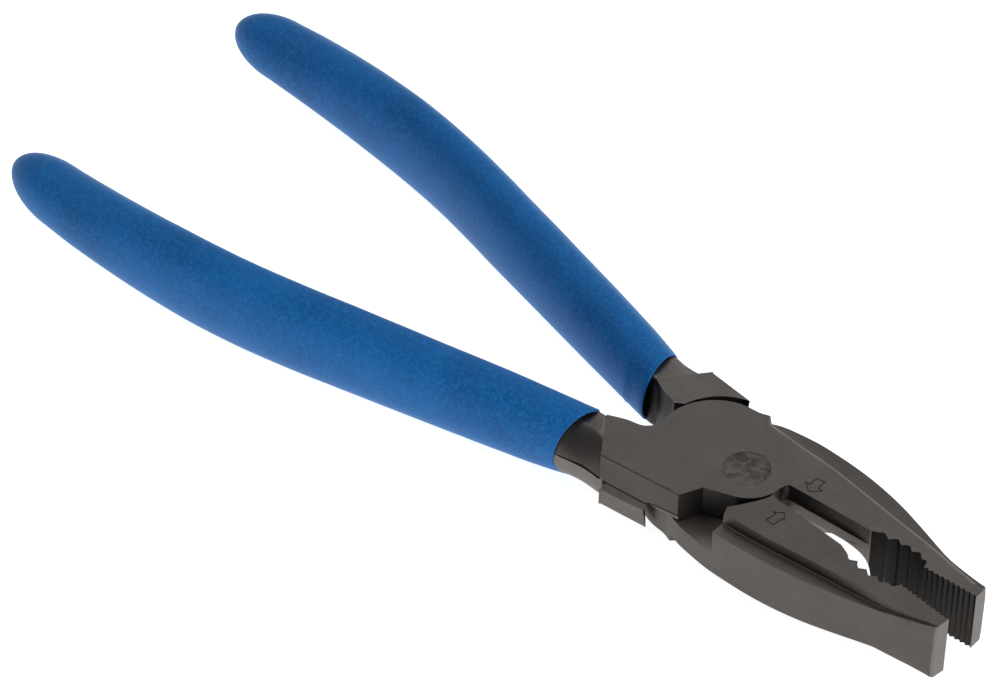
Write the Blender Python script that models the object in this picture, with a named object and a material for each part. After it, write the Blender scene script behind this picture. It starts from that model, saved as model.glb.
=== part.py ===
"""Lineman pliers, 200 mm long, with a lap joint and dipped handle sleeves.

Two forged halves cross at one flush rivet. Both halves are drawn closed, with the rivet's
axis on Z at the origin, the jaws along +X and the head lying between z = 0 and z = THICK.
Each half is then turned by half of the rest opening about that axis.
All outlines below are in millimetres.
"""
import bpy
import bmesh
import math

MM = 0.001

# Driving dimensions (millimetres)
THICK = 12.2             # thickness of the head
LAP_GAP = 0.3            # clearance between the two lapped plates
REST_OPENING = 8.4       # angle between the halves as drawn, degrees
JAW_END = 47.6           # pivot to the end of the jaws
HANDLE_END = -152.4      # pivot to the end of the handles
JAW_FACE = 0.05          # each gripping face stands off the closed line by this much

HUB_RADIUS = 7.2         # plate edge around the rivet, on the throat side
DISC_CENTRE = (-8.3, 2.2)
DISC_RADIUS = 10.3       # plate edge behind the rivet
DISC_CLEARANCE = 0.3     # shoulder recess around the other half's disc

RIVET_HEAD_RADIUS = 4.0
RIVET_SHANK_RADIUS = 3.2
RIVET_HEAD_DEPTH = 1.6
RIVET_RIM_DEPTH = 0.25   # straight rim before the head tapers to the shank
RIVET_CLEARANCE = 0.2
RIVET_CORNERS = 32

CUTTER_DEPTH = 3.85      # top face down to the cutting edges
LEDGE_SLOPE = 0.27       # rise of the recess floor away from the cutting edges
RECESS_START = 7.35
RECESS_END = 24.8
RECESS_CORNER = 0.5
RECESS_WALL_UPPER = (1.5, 1.5)     # wall's stand-off from the closed line, rear and front
RECESS_WALL_LOWER = (1.4, 1.0)
SCOOP_CENTRE = 16.2      # relief under the cutting edges, open to the underside
SCOOP_REAR = 8.45
SCOOP_FRONT = 5.0        # reach towards the jaw end, level with the cutting edges
SCOOP_FRONT_SPREAD = 4.6           # further reach gained below them
SCOOP_FRONT_FALL = 1.9             # depth over which most of it is gained
SCOOP_HALF_WIDTH = 8.05
SCOOP_SQUARENESS_FRONT = 2.5
SCOOP_SQUARENESS_REAR = 1.5

SIDE_STEP_DEPTH = 1.8    # rebate along the outer edge of both faces of a jaw
SIDE_STEP_FULL_UNTIL = 35.0        # runs out from here to the end of the jaw
SIDE_STEP_LEAN = 0.25    # lean of its inner wall

OUTSIDE = 20.0           # tools reach this far beyond the closed line

SLEEVE_WALL = 0.9
SLEEVE_CLEARANCE = 0.25
MOUTH_UPPER = (-30.1, 13.0)        # where the dip line crosses the handle, and its slant
MOUTH_LOWER = (-28.9, 8.0)
LEG_END = -142.0
LEG_ROUND_START = -135.0
LEG_TIP_Y = -17.9
LEG_SQUARENESS = 2.3
SLEEVE_SQUARENESS = 2.1
LEG_CORNERS = 20
SLEEVE_CORNERS = 24


# Outline of one half, closed, jaw side at y > 0
GRIP_HOLE_REAR = [(20.6, 0.05), (22.2, 0.55), (23.6, 1.05), (24.8, 1.45)]
GRIP_TEETH = [(26.15, 1.55), (26.45, 2.25), (26.95, 2.5), (28.05, 1.72), (28.75, 2.5),
              (29.3, 2.82), (30.4, 1.97), (31.1, 2.5), (31.65, 2.78), (32.75, 1.85),
              (33.4, 2.35), (34.0, 2.6), (35.05, 1.5), (35.6, 1.7), (36.15, 1.6)]
FINE_TEETH_START = 36.85
FINE_TEETH = 10
FINE_TEETH_DEPTH = 0.36
FINE_TEETH_LEAN = 0.45   # place of each tooth's root along its pitch
JAW_TIP_WIDTH = 2.85
JAW_OUTER_WALL = [(44.0, 3.85), (40.0, 5.25), (35.0, 7.1), (30.0, 9.0), (25.0, 10.72),
                  (20.0, 12.06), (15.0, 13.06), (10.0, 13.7), (5.0, 14.05), (0.0, 13.9), (-2.6, 13.6), (-4.9, 13.0)]
NECK_INNER = [(-18.8, -0.9), (-19.5, -1.9), (-20.7, -2.65), (-23.4, -3.15), (-26.8, -4.4)]
NECK_OUTER = (-21.4, -12.95)
SHOULDER_END = (-5.0, -12.6)
EAR_OUTER = [(-21.1, -12.7), (-21.9, -13.4), (-21.9, -16.0)]
PLATE_END = (-2.9, -8.45)
JAW_REAR = [(7.55, 0.0), (7.5, 1.3), (7.25, 2.6), (6.8, 4.0), (6.2, 5.4), (5.5, 6.9),
            (4.4, 9.0), (5.4, 11.0), (6.1, 14.2)]
SIDE_STEP_EDGE = [(-5.2, 13.6), (-3.4, 11.5), (0.0, 11.1), (5.0, 10.5), (10.0, 9.95),
                  (15.0, 9.1), (20.0, 8.1), (25.0, 7.1), (30.0, 6.15), (35.0, 5.2),
                  (40.0, 4.3), (44.0, 3.6), (47.7, 2.95)]

# Neck: place along x, centre line y, slope, half width, half height, squareness
NECK_SECTIONS = [(-21.8, -7.4, 0.52, 4.9, 5.95, 7.0), (-23.6, -8.15, 0.5, 4.8, 5.9, 6.0),
                 (-25.2, -7.95, 0.4, 4.6, 5.5, 4.0), (-27.0, -7.75, 0.3, 4.4, 5.6, 3.0),
                 (-28.6, -7.65, 0.22, 4.3, 5.75, 2.6)]

# Handle: place along x, centre line y, half width across, half height
HANDLE_SECTIONS = [(-29.0, -7.65, 5.25, 6.9), (-37.0, -9.15, 5.4, 7.58), (-45.0, -10.55, 5.45, 7.97),
                   (-55.0, -12.25, 5.45, 8.22), (-65.0, -13.95, 5.42, 8.48), (-75.0, -15.6, 5.34, 8.78),
                   (-85.0, -17.3, 5.22, 8.98), (-95.0, -18.65, 5.12, 9.08), (-105.0, -19.4, 5.17, 8.98),
                   (-115.0, -19.6, 5.32, 8.48), (-125.0, -19.4, 5.57, 7.55), (-133.0, -18.95, 5.72, 6.68),
                   (-140.0, -18.35, 5.6, 5.95)]
HANDLE_TIP_Y = -16.9
HANDLE_ROUND_START = -140.0


def make_material(name, colour, roughness, metallic):
    material = bpy.data.materials.new(name)
    material.use_nodes = True
    shader = material.node_tree.nodes["Principled BSDF"]
    shader.inputs["Base Color"].default_value = (*colour, 1.0)
    shader.inputs["Roughness"].default_value = roughness
    shader.inputs["Metallic"].default_value = metallic
    material.diffuse_color = (*colour, 1.0)
    return material


def arc(centre, radius, start, end, steps):
    """Points on an arc, angles in degrees."""
    points = []
    for i in range(steps + 1):
        angle = math.radians(start + (end - start) * i / steps)
        points.append((centre[0] + radius * math.cos(angle), centre[1] + radius * math.sin(angle)))
    return points


def interpolate(table, x, column):
    """Value of a column at x, on a smooth curve through a table sorted by falling x."""
    last = len(table) - 1
    i = 0
    while i < last - 1 and x < table[i + 1][0]:
        i += 1
    before = table[max(i - 1, 0)]
    a = table[i]
    b = table[i + 1]
    after = table[min(i + 2, last)]
    span = b[0] - a[0]
    t = (x - a[0]) / span
    slope_a = (b[column] - before[column]) / (b[0] - before[0]) * span
    slope_b = (after[column] - a[column]) / (after[0] - a[0]) * span
    h = (2 * t**3 - 3 * t**2 + 1, t**3 - 2 * t**2 + t, -2 * t**3 + 3 * t**2, t**3 - t**2)
    return h[0] * a[column] + h[1] * slope_a + h[2] * b[column] + h[3] * slope_b


def outward(mesh_builder, name, collection):
    """Finish a bmesh as an object whose faces all point out."""
    bmesh.ops.recalc_face_normals(mesh_builder, faces=mesh_builder.faces)
    mesh = bpy.data.meshes.new(name)
    mesh_builder.to_mesh(mesh)
    mesh_builder.free()
    obj = bpy.data.objects.new(name, mesh)
    collection.objects.link(obj)
    return obj


def loft(name, rings, collection):
    """Closed solid through rings of equal length, each a list of points in millimetres."""
    builder = bmesh.new()
    loops = []
    for ring in rings:
        loops.append([builder.verts.new([c * MM for c in point]) for point in ring])
    count = len(loops[0])
    for first, second in zip(loops, loops[1:]):
        for i in range(count):
            j = (i + 1) % count
            builder.faces.new((first[i], first[j], second[j], second[i]))
    builder.faces.new(loops[0])
    builder.faces.new(loops[-1])
    return outward(builder, name, collection)


def prism(name, outline, low, high, collection):
    """Solid of an outline in X and Y between two heights."""
    bottom = [(x, y, low) for x, y in outline]
    top = [(x, y, high) for x, y in outline]
    return loft(name, [bottom, top], collection)


def combine(target, tool, operation):
    """Boolean with a hidden tool, which follows the target."""
    tool.hide_render = True
    tool.display_type = 'WIRE'
    tool.parent = target
    modifier = target.modifiers.new(tool.name, 'BOOLEAN')
    modifier.operation = operation
    modifier.solver = 'EXACT'
    modifier.object = tool


def fine_teeth():
    """Saw profile of the flat gripping face, from its start to the end of the jaw."""
    pitch = (JAW_END - FINE_TEETH_START) / FINE_TEETH
    points = []
    for i in range(FINE_TEETH):
        x = FINE_TEETH_START + i * pitch
        points.append((x, JAW_FACE))
        points.append((x + FINE_TEETH_LEAN * pitch, JAW_FACE + FINE_TEETH_DEPTH))
    points.append((JAW_END, JAW_FACE))
    return points


def half_outline():
    points = [(JAW_REAR[0][0], JAW_FACE)]
    points += GRIP_HOLE_REAR + GRIP_TEETH + fine_teeth()
    points += [(JAW_END, JAW_TIP_WIDTH)] + JAW_OUTER_WALL
    points += arc(DISC_CENTRE, DISC_RADIUS, 94.0, 184.0, 12)
    points += NECK_INNER + [NECK_OUTER, SHOULDER_END, PLATE_END]
    points += arc((0.0, 0.0), HUB_RADIUS, -70.0, 0.4, 12)
    return points


def pocket_outline():
    """Where the other half's plate turns: all that is neither jaw nor shoulder."""
    centre = (DISC_CENTRE[0], -DISC_CENTRE[1])
    shoulder = arc(centre, DISC_RADIUS + DISC_CLEARANCE, -172.0, -108.0, 9)
    points = [(-21.0, -1.0), (-20.5, -2.3)] + shoulder + EAR_OUTER
    points += [(9.0, -16.0), (9.0, -1.0)]
    points += JAW_REAR + [(7.0, 17.0), (7.0, OUTSIDE), (-21.0, OUTSIDE)]
    return points


def side_step_rings(face, inward):
    """Rings of the rebate along a jaw: face is its height, inward is -1 down or 1 up."""
    rings = []
    for x, y in SIDE_STEP_EDGE:
        fade = min(1.0, max(0.02, (JAW_END + 0.1 - x) / (JAW_END - SIDE_STEP_FULL_UNTIL)))
        depth = SIDE_STEP_DEPTH * fade**0.8
        clear = face - inward
        bottom = face + inward * depth
        rings.append([(x, y, clear), (x, OUTSIDE, clear), (x, OUTSIDE, bottom),
                      (x, y + SIDE_STEP_LEAN * fade, bottom)])
    return rings


def recess_rings(side, wall):
    """Rings of the slot over the cutting edges, with a floor that falls to the closed line."""
    rings = []
    for x, reach in ((RECESS_START, 0.6 * wall[0]), (RECESS_START + RECESS_CORNER, wall[0]),
                     (RECESS_END, wall[1])):
        rings.append([(x, -3.0 * side, THICK + 1.0), (x, reach * side, THICK + 1.0),
                      (x, reach * side, THICK - CUTTER_DEPTH + LEDGE_SLOPE * reach), (x, 0.0, THICK - CUTTER_DEPTH),
                      (x, -3.0 * side, THICK - CUTTER_DEPTH)])
    return rings


def scoop_front(depth):
    """Reach of the relief towards the jaw end at a depth below the top face."""
    return SCOOP_FRONT + SCOOP_FRONT_SPREAD * (1.0 - math.exp(-(depth - CUTTER_DEPTH) / SCOOP_FRONT_FALL))


def scoop_rings():
    rings = []
    steps = 7
    corners = 28
    bottom = THICK + 0.8
    for k in range(steps):
        depth = CUTTER_DEPTH + (bottom - CUTTER_DEPTH) * (k / (steps - 1))**1.5
        half_width = 0.02 + SCOOP_HALF_WIDTH * (depth - CUTTER_DEPTH) / (THICK - CUTTER_DEPTH)
        ring = []
        for i in range(corners):
            angle = 2 * math.pi * i / corners
            c = math.cos(angle)
            s = math.sin(angle)
            reach = scoop_front(depth) if c > 0 else SCOOP_REAR
            power = 2 / (SCOOP_SQUARENESS_FRONT if c > 0 else SCOOP_SQUARENESS_REAR)
            x = SCOOP_CENTRE + reach * math.copysign(abs(c)**power, c)
            y = half_width * math.copysign(abs(s)**power, s)
            ring.append((x, y, THICK - depth))
        rings.append(ring)
    return rings


def section(x, y, slope, half_width, half_height, squareness, corners):
    """Rounded section square to a centre line of the given slope."""
    length = math.hypot(1.0, slope)
    across = (-slope / length, 1.0 / length)
    ring = []
    for i in range(corners):
        angle = 2 * math.pi * (i + 0.5) / corners
        c = math.cos(angle)
        s = math.sin(angle)
        u = half_width * math.copysign(abs(c)**(2 / squareness), c)
        v = half_height * math.copysign(abs(s)**(2 / squareness), s)
        ring.append((x + u * across[0], y + u * across[1], THICK / 2 + v))
    return ring


def handle_at(x):
    y = interpolate(HANDLE_SECTIONS, x, 1)
    slope = interpolate(HANDLE_SECTIONS, x + 0.5, 1) - interpolate(HANDLE_SECTIONS, x - 0.5, 1)
    return y, slope, interpolate(HANDLE_SECTIONS, x, 2), interpolate(HANDLE_SECTIONS, x, 3)


def rounded_end(start, end, end_y, inset, corners, steps):
    """Rings that close a handle with a round nose, from start to end along x."""
    y, slope, half_width, half_height = handle_at(start)
    rings = []
    for k in range(1, steps + 1):
        angle = 0.5 * math.pi * k / (steps + 0.35)
        along = math.sin(angle)
        shrink = math.cos(angle)
        centre_y = y + (end_y - y) * along
        rings.append(section(start + (end - start) * along, centre_y, slope * (1 - 0.5 * along),
                             (half_width - inset) * shrink, (half_height - inset) * shrink,
                             SLEEVE_SQUARENESS, corners))
    return rings


def leg_rings():
    """Neck and tapering leg, from inside the head to the end inside the sleeve."""
    inset = SLEEVE_WALL + SLEEVE_CLEARANCE
    rings = [section(x, y, slope, half_width, half_height, squareness, LEG_CORNERS)
             for x, y, slope, half_width, half_height, squareness in NECK_SECTIONS]
    for x in (-33.0, -42.0, -52.0, -64.0, -76.0, -88.0, -98.0, -108.0, -118.0, -127.0, LEG_ROUND_START):
        y, slope, half_width, half_height = handle_at(x)
        rings.append(section(x, y, slope, half_width - inset, half_height - inset, LEG_SQUARENESS, LEG_CORNERS))
    return rings + rounded_end(LEG_ROUND_START, LEG_END, LEG_TIP_Y, inset, LEG_CORNERS, 3)


def sleeve_rings(mouth):
    """Outer skin of a sleeve, from the slanted dip line to the round end."""
    mouth_x, slant = mouth
    rings = []
    for back, share in ((0.0, 1.0), (2.5, 0.75), (5.0, 0.4)):
        x = mouth_x - back
        y, slope, half_width, half_height = handle_at(x)
        tilt = -math.tan(math.radians(slant)) * share + slope * (1.0 - share)
        lean = math.atan(slope) - math.atan(tilt)
        rings.append(section(x, y, tilt, half_width / math.cos(lean), half_height, SLEEVE_SQUARENESS,
                             SLEEVE_CORNERS))
    for x in (-38.0, -44.0, -52.0, -60.0, -68.0, -76.0, -84.0, -92.0, -99.0, -105.0, -111.0,
              -117.0, -123.0, -129.0, -135.0, HANDLE_ROUND_START):
        y, slope, half_width, half_height = handle_at(x)
        rings.append(section(x, y, slope, half_width, half_height, SLEEVE_SQUARENESS, SLEEVE_CORNERS))
    return rings + rounded_end(HANDLE_ROUND_START, HANDLE_END, HANDLE_TIP_Y, 0.0, SLEEVE_CORNERS, 6)


def cavity_rings():
    """Bore of the sleeve, which clears the leg and runs out through the mouth."""
    inset = SLEEVE_WALL
    rings = []
    straight_from = HANDLE_SECTIONS[0][0]
    for x in (-23.0, -29.0, -36.0, -44.0, -54.0, -65.0, -76.0, -88.0, -98.0, -108.0, -118.0, -127.0,
              LEG_ROUND_START):
        y, slope, half_width, half_height = handle_at(min(x, straight_from))
        y += (x - min(x, straight_from)) * slope
        rings.append(section(x, y, slope, half_width - inset, half_height - inset, LEG_SQUARENESS, LEG_CORNERS))
    return rings + rounded_end(LEG_ROUND_START, LEG_END - SLEEVE_CLEARANCE, LEG_TIP_Y, inset, LEG_CORNERS, 3)


def rivet_profile(clearance, overrun):
    """Radius and height pairs of the rivet from bottom to top, grown by a clearance."""
    head = RIVET_HEAD_RADIUS + clearance
    shank = RIVET_SHANK_RADIUS + clearance
    return [(head, -overrun), (head, RIVET_RIM_DEPTH), (shank, RIVET_HEAD_DEPTH),
            (shank, THICK - RIVET_HEAD_DEPTH), (head, THICK - RIVET_RIM_DEPTH), (head, THICK + overrun)]


def turned(name, profile, collection):
    rings = []
    for radius, height in profile:
        ring = []
        for i in range(RIVET_CORNERS):
            angle = 2 * math.pi * i / RIVET_CORNERS
            ring.append((radius * math.cos(angle), radius * math.sin(angle), height))
        rings.append(ring)
    return loft(name, rings, collection)


def mirrored(rings, lower):
    """Rings as drawn for the upper half, or turned over about the X axis for the lower one."""
    if not lower:
        return rings
    return [[(x, -y, THICK - z) for x, y, z in ring] for ring in rings]


def flat_rings(outline, low, high):
    return [[(x, y, low) for x, y in outline], [(x, y, high) for x, y in outline]]


def build_half(name, lower, material, collection):
    """One forged half: jaw, lapped plate, shoulder, neck and leg in one piece."""
    side = -1.0 if lower else 1.0
    half = loft(name, mirrored(flat_rings(half_outline(), 0.0, THICK), lower), collection)
    half.data.materials.append(material)

    def tool(label, rings):
        return loft(name + "_" + label, rings, collection)

    combine(half, tool("leg", mirrored(leg_rings(), lower)), 'UNION')
    lap = THICK / 2 + LAP_GAP / 2
    combine(half, tool("pocket", mirrored(flat_rings(pocket_outline(), -1.0, lap), lower)), 'DIFFERENCE')
    for label, face, inward in (("step_top", THICK, -1.0), ("step_bottom", 0.0, 1.0)):
        combine(half, tool(label, mirrored(side_step_rings(face, inward), lower)), 'DIFFERENCE')
    combine(half, tool("recess", recess_rings(side, RECESS_WALL_LOWER if lower else RECESS_WALL_UPPER)),
            'DIFFERENCE')
    combine(half, tool("scoop", scoop_rings()), 'DIFFERENCE')
    bore = turned(name + "_bore", rivet_profile(RIVET_CLEARANCE, 1.0), collection)
    combine(half, bore, 'DIFFERENCE')
    half.rotation_euler.z = side * math.radians(REST_OPENING / 2)
    return half


def build_sleeve(name, half, lower, material, collection):
    mouth = MOUTH_LOWER if lower else MOUTH_UPPER
    sleeve = loft(name, mirrored(sleeve_rings(mouth), lower), collection)
    sleeve.data.materials.append(material)
    combine(sleeve, loft(name + "_cavity", mirrored(cavity_rings(), lower), collection), 'DIFFERENCE')
    sleeve.parent = half
    sleeve.data.shade_smooth()
    sleeve.data.set_sharp_from_angle(angle=math.radians(40))
    return sleeve


def build_pliers():
    for obj in list(bpy.data.objects):
        bpy.data.objects.remove(obj, do_unlink=True)
    collection = bpy.context.scene.collection
    steel = make_material("phosphated_steel", (0.10, 0.092, 0.085), 0.45, 0.85)
    rivet_steel = make_material("rivet_steel", (0.11, 0.10, 0.095), 0.4, 0.9)
    vinyl = make_material("dipped_vinyl", (0.02, 0.10, 0.34), 0.6, 0.0)
    upper = build_half("upper_half", False, steel, collection)
    lower = build_half("lower_half", True, steel, collection)
    build_sleeve("upper_half_sleeve", upper, False, vinyl, collection)
    build_sleeve("lower_half_sleeve", lower, True, vinyl, collection)
    rivet = turned("pivot_rivet", rivet_profile(0.0, 0.0), collection)
    rivet.data.materials.append(rivet_steel)
    rivet.data.shade_smooth()
    rivet.data.set_sharp_from_angle(angle=math.radians(30))


build_pliers()
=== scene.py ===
"""Lineman pliers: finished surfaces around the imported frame.

Shapes are drawn in millimetres for one half, closed, with the rivet's axis on Z at the
origin, the jaws along +X and the head between z = 0 and z = THICK. The lower half is the
same shape turned over about X, and each half is then turned by half of the rest opening.
"""
import math
import bmesh
import bpy
from mathutils import Matrix, Vector, noise


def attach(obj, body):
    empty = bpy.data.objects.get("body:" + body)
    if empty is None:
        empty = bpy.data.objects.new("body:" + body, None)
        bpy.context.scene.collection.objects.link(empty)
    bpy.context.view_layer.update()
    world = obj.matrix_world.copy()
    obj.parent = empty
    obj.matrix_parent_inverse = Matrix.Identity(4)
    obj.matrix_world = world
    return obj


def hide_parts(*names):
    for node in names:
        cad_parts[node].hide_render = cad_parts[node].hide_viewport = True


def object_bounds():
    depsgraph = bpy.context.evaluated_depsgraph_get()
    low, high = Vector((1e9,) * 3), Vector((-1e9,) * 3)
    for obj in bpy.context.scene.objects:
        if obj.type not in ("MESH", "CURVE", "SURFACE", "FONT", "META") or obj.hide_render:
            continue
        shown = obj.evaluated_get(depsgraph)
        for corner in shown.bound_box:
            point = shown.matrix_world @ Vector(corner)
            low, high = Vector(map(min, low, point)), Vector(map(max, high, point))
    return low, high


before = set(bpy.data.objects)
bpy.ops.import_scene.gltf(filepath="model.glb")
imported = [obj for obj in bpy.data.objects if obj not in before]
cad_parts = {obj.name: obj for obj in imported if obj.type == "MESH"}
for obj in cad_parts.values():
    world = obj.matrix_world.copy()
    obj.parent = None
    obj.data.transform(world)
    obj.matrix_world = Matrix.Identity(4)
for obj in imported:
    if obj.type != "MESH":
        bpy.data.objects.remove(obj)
cad_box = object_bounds()

MM = 0.001
SIDE = {"upper": 1.0, "lower": -1.0}
HALF_OPENING = 4.2       # degrees
OVER = 1.0               # how far a cutting tool stands proud of what it cuts

# Head
THICK = 12.2
LAP_GAP = 0.3
EDGE = 0.13              # radius of the broken edges
EDGE_ANGLE = 28.0        # an edge sharper than this is broken
HUB_RADIUS = 7.2
DISC_CENTRE = (-8.3, 2.2)
DISC_RADIUS = 10.3
DISC_CLEARANCE = 0.3
TAPER = 0.05             # the head thins towards the handles by this share
TAPER_START = -4.0
TAPER_LENGTH = 17.0
SHOULDER_CURVE = [(-4.9, 13.0), (-6.6, 12.55), (-8.3, 12.5)]
NECK_INNER = [(-18.6, 1.2), (-18.85, -0.9), (-19.5, -1.9), (-20.7, -2.65), (-23.4, -3.15),
              (-26.8, -4.4)]
NECK_OUTER = (-21.4, -12.95)
SHOULDER_END = (-5.0, -12.6)
PLATE_END = (-2.9, -8.45)
CHAMFER = 0.2            # along the top of the plate's outer wall

# Pocket that takes the other half's plate, outline in order
POCKET_REAR = [(-21.0, -1.0), (-20.5, -2.3)]
EAR_OUTER = [(-21.1, -12.7), (-21.9, -13.4), (-21.9, -16.0)]
POCKET_FRONT = [(9.0, -16.0), (9.0, -1.0)]
JAW_REAR = [(7.55, 0.0), (7.5, 1.3), (7.25, 2.6), (6.8, 4.0), (6.2, 5.4), (5.5, 6.9), (4.4, 9.0)]
JAW_REAR_OUTER = [(4.4, 9.0), (5.4, 11.0), (6.1, 14.2)]
POCKET_OUTSIDE = [(7.0, 17.0), (7.0, 20.0), (-21.0, 20.0)]

# Jaws, with each jaw's own grind: shift of its grip teeth, width of its tip
JAW_END = 47.6
JAW_FACE = 0.05
GRIP_HOLE_START = 20.3
GRIP_TEETH_START = 25.1
GRIP_HOLE_REAR = [(20.6, 0.05), (22.2, 0.55), (23.6, 1.05), (24.8, 1.46)]
GRIP_TEETH = [(GRIP_TEETH_START, 1.53), (26.1, 1.98), (26.4, 2.35), (26.95, 2.5), (28.05, 1.72),
              (28.75, 2.5), (29.3, 2.82), (30.4, 1.97), (31.1, 2.5), (31.65, 2.78), (32.75, 1.85),
              (33.4, 2.35), (34.0, 2.6), (35.05, 1.5), (35.6, 1.7), (36.15, 1.6)]
TEETH_SHIFT = {"upper": 0.42, "lower": 0.0}
FINE_TEETH = 10
FINE_TEETH_START = 36.85
FINE_GROOVE = (0.42, 0.6)        # ends of its floor, as shares of the pitch
FINE_GROOVE_DEPTH = 0.36
TIP_WIDTH = {"upper": 3.15, "lower": 3.0}
TIP_CORNER = (0.25, 0.4)
JAW_OUTER_WALL = [(44.0, 4.03), (40.0, 5.25), (35.0, 7.1), (30.0, 9.0), (25.0, 10.72),
                  (20.0, 12.06), (15.0, 13.06), (10.0, 13.7), (5.0, 14.05), (0.0, 13.9),
                  (-2.6, 13.6), (-4.9, 13.0)]
JAW_BULGE = [(0.0, 0.0), (2.2, 0.16), (9.8, 0.28), (THICK, 0.0)]      # height, bulge

# Rebate along a jaw's outer edge
STEP_RUN_OUT = [(-5.2, 13.6), (-4.3, 12.55), (-3.4, 11.5)]
STEP_EDGE = [(0.0, 11.1), (5.0, 10.5), (10.0, 9.95), (15.0, 9.1), (20.0, 8.1), (25.0, 7.1),
             (30.0, 6.15), (35.0, 5.2), (40.0, 4.2), (44.0, 3.35), (47.7, 2.6)]
STEP_DEPTH = 1.8
STEP_FADE_START = 37.0   # from here it gets shallower towards the tip
STEP_LEAN = 0.45         # how far its wall leans out from top to foot
STEP_FOOT = 0.1          # radius at the foot of its wall
STEP_SHELF = (5.0, 3.2, 2.4, 1.6, 0.8)       # points across its floor, from its foot
STEP_OUTSIDE = 18.0
SHELF_CURVE = 0.04       # rise of its floor, per millimetre squared
SKIM = 0.01              # its wall starts this far under the face
WORN_WIDTH = 0.42        # worn line beside it
WORN_DEPTH = 0.07
WORN_INSET = 0.13        # how far the wear has moved the edge in, and how much more at the tip
WORN_TIP_INSET = 0.2

# Cutting edges: recess above them, with how far it reaches at its rear and front, and the
# scoop below
CUTTER_DEPTH = 3.85
LEDGE_SLOPE = 0.27
RECESS_START = 7.35
RECESS_END = 24.8
RECESS_CORNER = 0.9      # radius of its rear corner
RECESS_REACH = {"upper": (1.5, 1.5), "lower": (1.4, 1.0)}
RECESS_BACK = 3.0        # the cutting tool stands back past the closed edge
SCOOP_CENTRE = 16.2
SCOOP_REAR = 8.45
SCOOP_FRONT = 5.0        # its reach towards the tip at the cutting edges
SCOOP_SPREAD = 4.6       # how much further it reaches below
SCOOP_FALL = 1.9         # depth over which it does most of that
SCOOP_HALF_WIDTH = 8.05
SCOOP_SQUARENESS = (2.5, 1.5)    # front, rear
SCOOP_BOTTOM = THICK + 0.8
SCOOP_RINGS = 14
SCOOP_CORNERS = 72

# Neck: x, centre y, slope, half width, half height, squareness of its inner and outer sides
NECK = [(-22.9, -8.1, 0.63, 4.85, 5.9, 7.0, 1.7), (-24.1, -8.42, 0.6, 5.2, 6.02, 8.0, 1.45),
        (-25.6, -8.3, 0.5, 4.85, 6.1, 8.5, 1.3), (-27.0, -8.2, 0.38, 4.5, 6.12, 8.0, 1.3),
        (-28.4, -8.05, 0.28, 4.6, 6.12, 5.0, 1.35), (-30.0, -8.1, 0.22, 4.7, 6.15, 3.2, 1.45),
        (-31.5, -8.25, 0.19, 4.75, 6.2, 2.5, 1.7), (-34.5, -8.65, 0.18, 4.4, 6.0, 2.3, 2.0)]
NECK_UNDER_SQUARENESS = 2.8      # of its outer side below mid height
NECK_STEP = 0.4
# Parting line around the outside: x, y, height
PARTING = [(-33.0, -13.6, 6.1), (-31.1, -13.15, 6.1), (-29.1, -12.8, 6.1), (-27.4, -12.5, 6.12),
           (-25.7, -12.28, 6.2), (-23.4, -12.62, 6.25), (-21.4, -12.95, 6.3),
           (-16.0, -12.83, 6.3), (-11.6, -12.74, 6.32), (-10.4, -12.71, 7.1), (-8.5, -12.68, 7.2),
           (-4.0, -12.55, 7.5)]
GROOVE_END = -21.3       # the parting line is a groove up to here
# Band under it: x, outer wall, height of the foot, inset at the parting line
BAND = [(-23.4, -12.8, 3.35, 0.35), (-21.1, -12.71, 3.35, 0.4), (-16.3, -12.5, 3.35, 0.4),
        (-12.8, -12.34, 3.6, 0.35), (-11.7, -12.3, 3.9, 0.25), (-10.8, -12.62, 5.4, 0.1),
        (-8.5, -12.62, 5.6, 0.12), (-4.0, -12.5, 5.6, 0.12)]
BAND_BEND = 0.8          # share of the inset that its wall reaches under the undercut strip
STRIP_HEIGHT = 0.3       # that strip, where the band stands clear of the parting line
STRIP_RISE = 1.25        # and how much higher it gets as the band goes in under the line
# Facet on the end of the shoulder: plan at its top and at the underside
EAR_FACET_TOP = [(-11.4, -11.85), (-12.85, -12.5), (-12.85, -13.4), (-10.0, -13.4)]
EAR_FACET_FOOT = [(-11.5, -12.2), (-11.65, -12.32), (-11.65, -13.4), (-10.0, -13.4)]
EAR_FACET_HEIGHT = 3.9
EAR_FACET_BOTTOM = -0.5

# Outlined arrows: tip, two barbs, two corners of the tail
ARROW = {"upper": ((11.3, 2.25), ((9.6, 3.8), (13.1, 3.9)), ((10.5, 5.7), (12.1, 5.85))),
         "lower": ((11.8, 2.85), ((10.35, 4.1), (13.2, 4.0)), ((10.95, 6.3), (12.6, 6.3)))}
ARROW_SHAFT = (0.75, 0.8)        # from the axis to either side
STROKE_WIDTH = 0.2
STROKE_DEPTH = 0.11

# Handle: x, centre y, half width, half height
HANDLE = [(-29.0, -7.65, 5.2, 6.85), (-37.0, -9.15, 5.35, 7.55), (-45.0, -10.55, 5.4, 7.95),
          (-55.0, -12.25, 5.42, 8.2), (-65.0, -13.95, 5.4, 8.45), (-75.0, -15.6, 5.32, 8.75),
          (-85.0, -17.3, 5.2, 8.95), (-95.0, -18.65, 5.1, 9.05), (-105.0, -19.4, 5.15, 8.95),
          (-115.0, -19.6, 5.3, 8.45), (-125.0, -19.4, 5.55, 7.55), (-133.0, -18.95, 5.7, 6.7),
          (-140.0, -18.35, 5.6, 6.0)]
HANDLE_TIP_Y = -16.9
HANDLE_ROUND = -140.0    # the end is rounded from here
HANDLE_CORNERS = 96
SLEEVE_SQUARENESS = (2.1, 2.1, 2.1)
SLEEVE_END = {"upper": -152.4, "lower": -151.2}     # one dip is a little shorter
SLEEVE_END_RINGS = 16
SLEEVE_WALL = 0.55
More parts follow.
